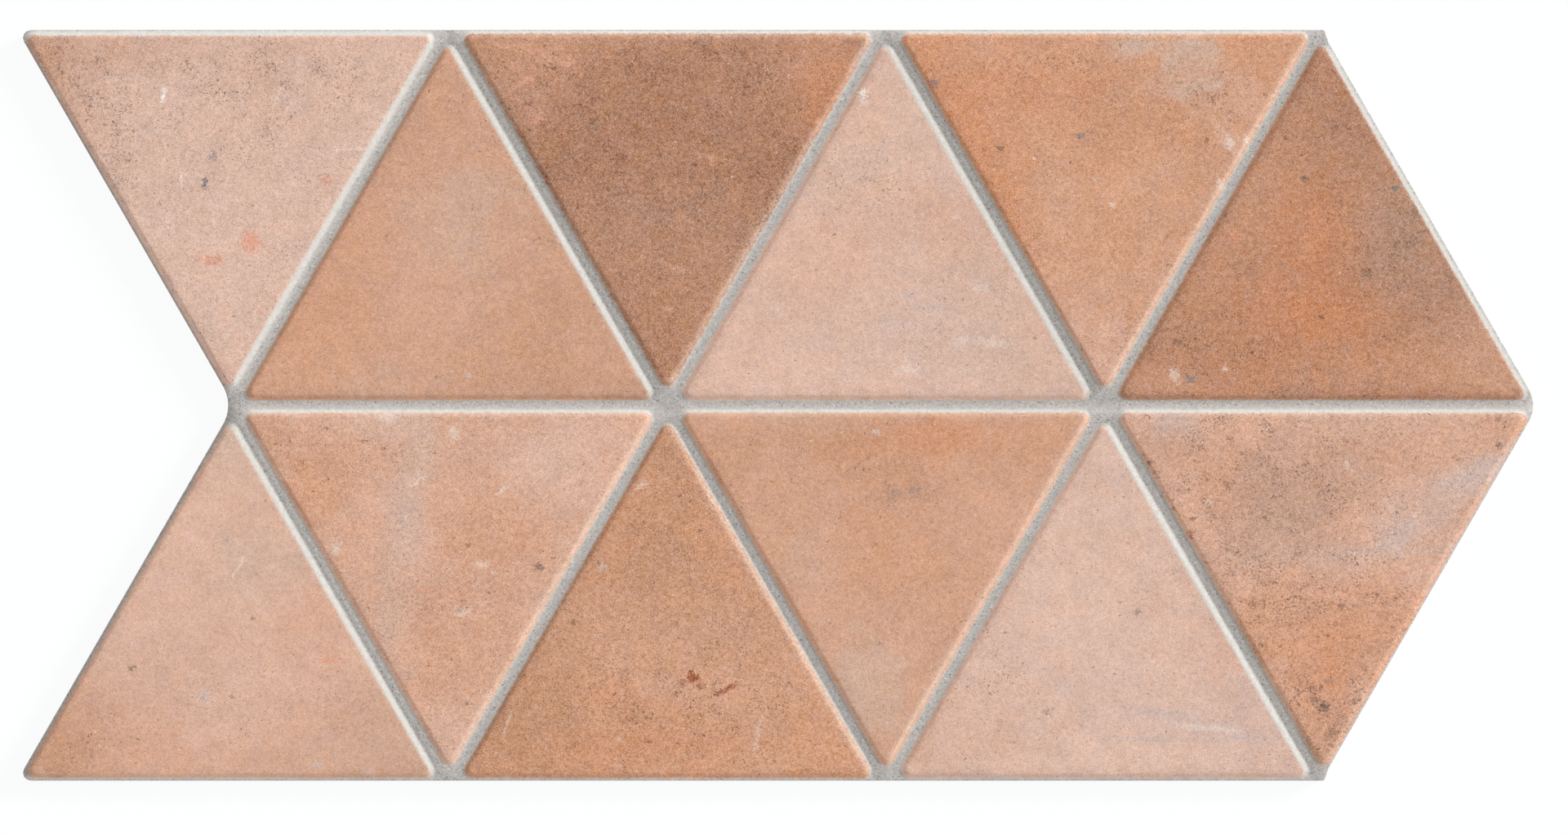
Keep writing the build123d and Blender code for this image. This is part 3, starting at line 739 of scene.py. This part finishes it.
def shaped_face(rim):
    """Vertices and triangles of the face, and the vertices along its rim."""
    flat, faces, became = triangulate(face_points(rim), [list(range(len(rim)))])
    x = flat[:, 0]
    y = flat[:, 1]
    depth = np.max([pad_depth(x, y, pad) for pad in PADS], axis=0)
    wander = EDGE_WANDER * layered_noise(x, y, *WANDER_NOISE)
    height = pad_profile(depth + wander * np.clip(depth + 1, 0, 1))
    hollow = 0.5 + 0.5 * layered_noise(x, y, *HOLLOW_NOISE)
    height -= FACE_HOLLOW * np.clip(hollow, 0, 1) * np.clip(depth / HOLLOW_RUN, 0, 1)
    height = np.clip(height, 0, PAD_HEIGHT)
    along_rim = became[: len(rim)]
    height[along_rim] = 0
    return np.column_stack((flat, FLOOR_Z + height)), faces, list(along_rim)


def key_loops():
    """Outer and inner corners of each channel in the bedding side."""
    border = BED_RIM / cos(radians(30))
    loops = []
    for index in range(int(HALF_WIDTH / RIB_PITCH) + 1):
        near = index * RIB_PITCH + RIB_WIDTH / 2
        far = min(near + RIB_PITCH - RIB_WIDTH, HALF_WIDTH - BED_RIM)
        if far - near < 3 * KEY_CORNER:
            continue
        corners = [(NOSE_X - border - y * LEAN - MIDDLE_X, y, KEY_CORNER) for y in (near, far)]
        corners += [(NOTCH_X + border - y * LEAN - MIDDLE_X, y, KEY_CORNER) for y in (far, near)]
        mirrored = [(x, -y, radius) for x, y, radius in reversed(corners)]
        for outline in (corners, mirrored):
            points, normals = rounded_ring(outline, KEY_STEP)
            loops.append((points, points - normals * KEY_WALL))
    return loops


def bedding_side(bed):
    """Vertices and triangles of the ribbed bedding side, and the vertices along its edge."""
    points = [bed]
    loops = [list(range(len(bed)))]
    heights = [np.zeros(len(bed))]
    start = len(bed)
    for outer, inner in key_loops():
        for ring, z in ((outer, 0.0), (inner, KEY_DEPTH)):
            points.append(ring)
            heights.append(np.full(len(ring), z))
            loops.append(list(range(start, start + len(ring))))
            start += len(ring)
    flat, faces, became = triangulate(np.concatenate(points), loops)
    z = np.zeros(len(flat))
    z[became] = np.concatenate(heights)
    return np.column_stack((flat, z)), [face[::-1] for face in faces], became[: len(bed)]


def wall_band(upper, lower):
    """Four-sided faces between two rings of the wall."""
    return [(upper[k - 1], lower[k - 1], lower[k], upper[k]) for k in range(len(upper))]


def build_mesh():
    """Vertices in millimetres, faces, and how many of the vertices belong to the face."""
    edge, normal = tile_outline()
    top, faces, upper = shaped_face(edge - normal * RIM_ROUND)
    levels = []
    for turn in RIM_TURNS:
        a = radians(turn)
        levels.append((RIM_ROUND * (1 - sin(a)), FLOOR_Z - RIM_ROUND * (1 - cos(a))))
    levels += [(0, z) for z in (*WALL_LEVELS, FOOT_CHAMFER)]
    verts = [top]
    total = len(top)
    for inset, z in levels:
        verts.append(np.column_stack((edge - normal * inset, np.full(len(edge), z))))
        lower = list(range(total, total + len(edge)))
        total += len(edge)
        faces += wall_band(upper, lower)
        upper = lower
    bed, bed_faces, bed_edge = bedding_side(edge - normal * FOOT_INSET)
    verts.append(bed)
    faces += [tuple(total + i for i in face) for face in bed_faces]
    faces += wall_band(upper, [total + i for i in bed_edge])
    return np.concatenate(verts), faces, len(top)


def lay_marks(marks, x, y, owner, ground):
    """Mixed colour of the marks at each point, their mixed strength, and how far they cover it."""
    colour = ground * TINY
    total = np.full(len(x), TINY)
    cover = np.full(len(x), TINY)
    bare = np.ones(len(x))
    for name, strength, *place in marks:
        cx, cy = face_place(*place[:2])
        home = np.argmax([pad_depth(np.array([cx]), np.array([cy]), pad)[0] for pad in PADS])
        weight = mark_weight(x, y, *place) * (owner == home)
        colour = colour + ink(name) * weight[:, None] * strength
        total += weight * strength
        cover += weight
        bare *= 1 - weight
    return colour / total[:, None], total / cover, 1 - bare


def side_shares(x, y, owner):
    """How much each point belongs to the flat, left and right side of its pad, adding up to 1."""
    sides = np.array([pad_sides(x, y, pad) for pad in PADS])[owner, :, np.arange(len(x))]
    share = np.exp(-(sides - sides.min(axis=1, keepdims=True)) / SIDE_BLEND)
    return share / share.sum(axis=1, keepdims=True)


def by_side(table, owner, share):
    """Values of a table with three sides for each pad, blended between the sides."""
    return (np.array(table)[owner] * share).sum(axis=1)


def band(depth, start, rise, end, fade, power=1):
    """How strong an effect is along a flank, rising from 0 to 1 and fading to 0 again."""
    return np.clip((depth - start) / rise, 0, 1) * np.clip((end - depth) / fade, 0, 1) ** power


def strayed(x, y, reach, noises):
    """Places moved about by noise, so that what is laid there gets uneven edges."""
    return [along + reach * layered_noise(x, y, *noise) for along, noise in zip((x, y), noises)]


def paint_face(x, y):
    """Colours and plain values over the face, by the names under which the shader finds them."""
    depths = np.array([pad_depth(x, y, pad) for pad in PADS])
    owner = depths.argmax(axis=0)
    depth = depths.max(axis=0)
    share = side_shares(x, y, owner)
    tone = np.array([ink(name) for name in GROUNDS])[owner]
    wide = strayed(x, y, CLOUD_WARP, CLOUD_NOISE)
    clouds = lay_marks(CLOUDS, *wide, owner, tone)
    spots = lay_marks(SPOTS, *strayed(x, y, SPOT_WARP, SPOT_NOISE), owner, tone)
    patchy = np.clip(PATCH_MIDDLE + PATCH_SWING * layered_noise(x, y, *PATCH_NOISE), 0, PATCH_MOST)
    wash = np.clip(CLOUD_SOFT * clouds[1] * clouds[2] * patchy, 0, 1)
    tone = tone + (clouds[0] - tone) * wash[:, None]
    tone = tone * (1 + BROAD_SWING * layered_noise(x, y, *BROAD_NOISE))[:, None]
    warmth = WARMTH_SWING * layered_noise(x, y, *WARMTH_NOISE)[:, None]
    tone = tone * (1 + warmth * np.array(WARMTH_TINT))
    # Painted highlight on the lit flanks of the pads
    pale = by_side(HIGHLIGHT_SIDES, owner, share) * band(depth, *HIGHLIGHT_BAND, HIGHLIGHT_POWER)
    tone = tone + (np.array(HIGHLIGHT_TONE) - tone) * pale[:, None]
    # Painted light on the flanks, with some painted shade, then painted shade inside the shaded sides
    flank_light = by_side(FLANK_LIGHT, owner, share) * band(depth, *FLANK_LIGHT_BAND)
    shaded = [(SOFT_SHADE if way > 0 else 0, SOFT_SHADE, 0) for _, _, way in PADS]
    shade = by_side(shaded, owner, share) * band(depth, *SHADE_BAND)
    tone = tone * (1 + flank_light - shade)[:, None]
    # Painted light and shade of the grooves: painted shadow on floors that fall to the right, painted shade
    # and light across the middle groove, painted light at the nose
    points_up = np.array([way > 0 for _, _, way in PADS])[owner]
    falling = np.where(points_up, share[:, 2], share[:, 1]) * (owner != NOSE_PAD)
    on_floor = np.clip(1 - depth / FLOOR_FADE, 0, 1)
    across = np.clip(y / MIDDLE_HALF, -1, 1) * (np.abs(y) < MIDDLE_REACH)
    groove_light_and_shade = 1 + by_side(JOINT_LIGHT, owner, share)
    groove_light_and_shade -= JOINT_SHADE * falling * on_floor + MIDDLE_SHADE * across * share[:, 0]
    groove_light_and_shade += NOSE_LIGHT * np.exp(-((x + MIDDLE_X - NOSE_TIP) ** 2 + y**2) / NOSE_SPREAD**2)
    grit = np.array(GRIT)[owner]
    for amount, *place in SOOTY:
        grit = grit + amount * mark_weight(*wide, *place)
    plain = {
        "depth": depth,
        "climb": by_side(JOINT_CLIMB, owner, share),
        "grit": np.clip(grit, 0, GRIT_MOST),
        "groove_light_and_shade": groove_light_and_shade,
        "grain": np.array(GRAIN)[owner],
        "cloud_share": clouds[2],
        "spot_share": spots[2],
    }
    coloured = {
        "tone": np.column_stack((tone, np.ones(len(x)))),
        "cloud": np.column_stack(clouds[:2]),
        "spot": np.column_stack(spots[:2]),
    }
    return coloured, plain


def give(mesh, name, values):
    """Store one value or one colour for every vertex."""
    coloured = values.ndim == 2
    layer = mesh.attributes.new(name, "FLOAT_COLOR" if coloured else "FLOAT", "POINT")
    layer.data.foreach_set("color" if coloured else "value", values.astype(np.float32).ravel())


verts, faces, face_count = build_mesh()
mesh = bpy.data.meshes.new("triangle_tile_look")
mesh.from_pydata((verts / MM).tolist(), [], faces)
mesh.validate()
mesh.shade_smooth()
mesh.set_sharp_from_angle(angle=SHARP_ANGLE)
coloured, plain = paint_face(verts[:face_count, 0], verts[:face_count, 1])
below = len(verts) - face_count
body_colour = np.append(linear(BODY_TONE), 1)
for name, values in coloured.items():
    give(mesh, name, np.concatenate((values, np.tile(body_colour, (below, 1)))))
for name, values in plain.items():
    give(mesh, name, np.concatenate((values, np.full(below, WALL_VALUES[name]))))
give(mesh, "print", np.clip((verts[:, 2] - FLOOR_Z + PRINT_WRAP) / PRINT_FADE, 0, 1))
tile = bpy.data.objects.new("tile_look", mesh)
bpy.context.collection.objects.link(tile)

# The printed and fired surface
clay = bpy.data.materials.new("printed_clay")
clay.use_nodes = True
tree = clay.node_tree
shader = tree.nodes["Principled BSDF"]
turned = tree.nodes.new("ShaderNodeMapping")
turned.inputs["Rotation"].default_value = NOISE_TURN
tree.links.new(tree.nodes.new("ShaderNodeTexCoord").outputs["Object"], turned.inputs["Vector"])


def joined(node, links):
    """Feed sockets of a node from other sockets, or set them to plain values."""
    for name, value in links.items():
        if isinstance(value, bpy.types.NodeSocket):
            tree.links.new(value, node.inputs[name])
        else:
            node.inputs[name].default_value = value
    return node


def stored(name, output="Fac"):
    """A value stored on the mesh."""
    node = tree.nodes.new("ShaderNodeAttribute")
    node.attribute_name = name
    return node.outputs[output]


def sums(how, first, second):
    """One step of arithmetic."""
    node = tree.nodes.new("ShaderNodeMath")
    node.operation = how
    return joined(node, {0: first, 1: second}).outputs[0]


def added(first, second):
    """Two colours or places added together."""
    node = tree.nodes.new("ShaderNodeVectorMath")
    return joined(node, {0: first, 1: second}).outputs["Vector"]


def brighten(colour, factor):
    """A colour times a factor."""
    node = tree.nodes.new("ShaderNodeVectorMath")
    node.operation = "SCALE"
    return joined(node, {"Vector": colour, "Scale": factor}).outputs["Vector"]


def speckle(name):
    """Named noise between 0 and 1."""
    size, shift, detail, rough = NOISES[name]
    node = tree.nodes.new("ShaderNodeTexNoise")
    moved = added(turned.outputs["Vector"], (shift, shift * 2, 0))
    links = {"Vector": moved, "Scale": MM / size, "Detail": detail, "Roughness": rough}
    return joined(node, links).outputs["Fac"]


def stretch(value, name):
    """Move a value smoothly from one end of a named range to the other."""
    low, high, to_low, to_high = RANGES[name]
    node = tree.nodes.new("ShaderNodeMapRange")
    node.interpolation_type = "SMOOTHSTEP"
    links = {"Value": value, "From Min": low, "From Max": high, "To Min": to_low, "To Max": to_high}
    return joined(node, links).outputs["Result"]


def blended(share, under, over):
    """One colour laid over another."""
    node = tree.nodes.new("ShaderNodeMix")
    node.data_type = "RGBA"
    tree.links.new(share, node.inputs[0])
    for index, colour in ((6, under), (7, over)):
        if isinstance(colour, bpy.types.NodeSocket):
            tree.links.new(colour, node.inputs[index])
        else:
            node.inputs[index].default_value = (*linear(colour), 1)
    return node.outputs[2]


# Ground, clouds and spots of the print
cloud = sums("ADD", stored("cloud_share"), stretch(speckle("torn"), "torn edge"))
cloud = sums("MULTIPLY", stretch(cloud, "cloud cover"), stored("cloud", "Alpha"))
colour = blended(cloud, stored("tone", "Color"), stored("cloud", "Color"))
spot = sums("ADD", stored("spot_share"), stretch(speckle("chipped"), "chipped edge"))
spot = sums("MULTIPLY", stretch(spot, "spot cover"), stored("spot", "Alpha"))
colour = blended(spot, colour, stored("spot", "Color"))

# Grain, mottling, grit and pale flecks
fine = speckle("fine")
medium = speckle("medium")
shake = sums("ADD", stretch(fine, "fine grain"), stretch(medium, "medium grain"))
colour = added(colour, brighten(GRAIN_TINT, sums("MULTIPLY", shake, stored("grain"))))
colour = added(colour, brighten(WARM_SHIFT, stretch(speckle("warmth"), "warmth")))
mottle = stretch(speckle("mottle"), "mottle")
colour = brighten(colour, mottle)
density = sums("MULTIPLY", stored("grit"), stretch(speckle("gathering"), "gathering"))
specks = sums("ADD", speckle("specks"), sums("MULTIPLY", density, SPECK_GATHER))
colour = blended(stretch(specks, "specks"), colour, SPECK_TONE)
flakes = sums("ADD", speckle("flakes"), sums("MULTIPLY", density, FLAKE_GATHER))
colour = blended(stretch(flakes, "flakes"), colour, FLAKE_TONE)
colour = blended(stretch(speckle("flecks"), "flecks"), colour, FLECK_TONE)

# Sandy grey of the grooves, climbing the foot of each pad
cement = blended(stretch(stored("depth"), "cream"), GROUT_TONE, GROUT_CREAM)
sand = speckle("sand")
sandy = stretch(stored("depth"), "sand by depth")
sandy = sums("MULTIPLY", sandy, stretch(stored("groove_light_and_shade"), "sand by light"))
cement = blended(sums("MULTIPLY", stretch(sand, "dark sand"), sandy), cement, DARK_SAND)
cement = blended(sums("MULTIPLY", stretch(sand, "light sand"), sandy), cement, LIGHT_SAND)
cement = brighten(cement, stretch(speckle("cement"), "cement"))
# Grout brightened and darkened by the painted light and shade of the grooves
grout = brighten(cement, stored("groove_light_and_shade"))
climb = sums("SUBTRACT", stored("climb"), stored("depth"))
climb = sums("ADD", climb, stretch(speckle("ragged"), "ragged edge"))
colour = blended(stretch(climb, "grout cover"), colour, grout)

# Bare body below the print
body = brighten(stored("tone", "Color"), stretch(medium, "body"))
body = blended(stretch(sand, "dark body"), brighten(body, mottle), DARK_BODY)
body = blended(stretch(sand, "light body"), body, LIGHT_BODY)
wrap = sums("ADD", stored("print"), stretch(medium, "wrap edge"))
colour = blended(stretch(wrap, "wrap cover"), body, colour)

tree.links.new(colour, shader.inputs["Base Color"])
shader.inputs["Roughness"].default_value = CLAY_ROUGHNESS
shader.inputs["Specular IOR Level"].default_value = CLAY_SPECULAR
bump = tree.nodes.new("ShaderNodeBump")
joined(bump, {"Height": fine, "Strength": BUMP_STRENGTH, "Distance": BUMP_DISTANCE})
tree.links.new(bump.outputs["Normal"], shader.inputs["Normal"])
mesh.materials.append(clay)
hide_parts("triangle_tile")
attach(tile, "root")

# Pale floor
bpy.ops.mesh.primitive_plane_add(size=FLOOR_SPAN, location=(0, 0, 0))
floor = bpy.context.object
floor.name = "floor"
pale = bpy.data.materials.new("pale_floor")
pale.use_nodes = True
sheet = pale.node_tree.nodes["Principled BSDF"]
sheet.inputs["Base Color"].default_value = FLOOR_COLOUR
sheet.inputs["Emission Color"].default_value = FLOOR_GLOW_COLOUR
sheet.inputs["Emission Strength"].default_value = FLOOR_GLOW
sheet.inputs["Roughness"].default_value = FLOOR_ROUGHNESS
floor.data.materials.append(pale)

# Soft light from the room and a broad key light from the right
scene = bpy.context.scene
scene.view_settings.view_transform = "Standard"
world = bpy.data.worlds.new("studio")
world.use_nodes = True
world.node_tree.nodes["Background"].inputs["Color"].default_value = ROOM_COLOUR
world.node_tree.nodes["Background"].inputs["Strength"].default_value = ROOM_LIGHT
scene.world = world
key_light = bpy.data.lights.new("key", "SUN")
key_light.energy = KEY_ENERGY
key_light.angle = KEY_SPREAD
key = bpy.data.objects.new("key", key_light)
bpy.context.collection.objects.link(key)
towards = Vector((cos(KEY_RISE) * cos(KEY_TURN), cos(KEY_RISE) * sin(KEY_TURN), sin(KEY_RISE)))
key.rotation_euler = towards.to_track_quat("Z", "Y").to_euler()

# Camera straight above, framing the tile as the picture does
lens = bpy.data.cameras.new("camera")
lens.lens = LENS
lens.sensor_width = SENSOR
camera = bpy.data.objects.new("camera", lens)
bpy.context.collection.objects.link(camera)
aim_x, aim_y = face_place(PHOTO_SIZE[0] / 2, PHOTO_SIZE[1] / 2)
rise = FLOOR_Z + PHOTO_SIZE[0] * PHOTO_MM * LENS / SENSOR
camera.location = (aim_x / MM, aim_y / MM, rise / MM)
scene.camera = camera
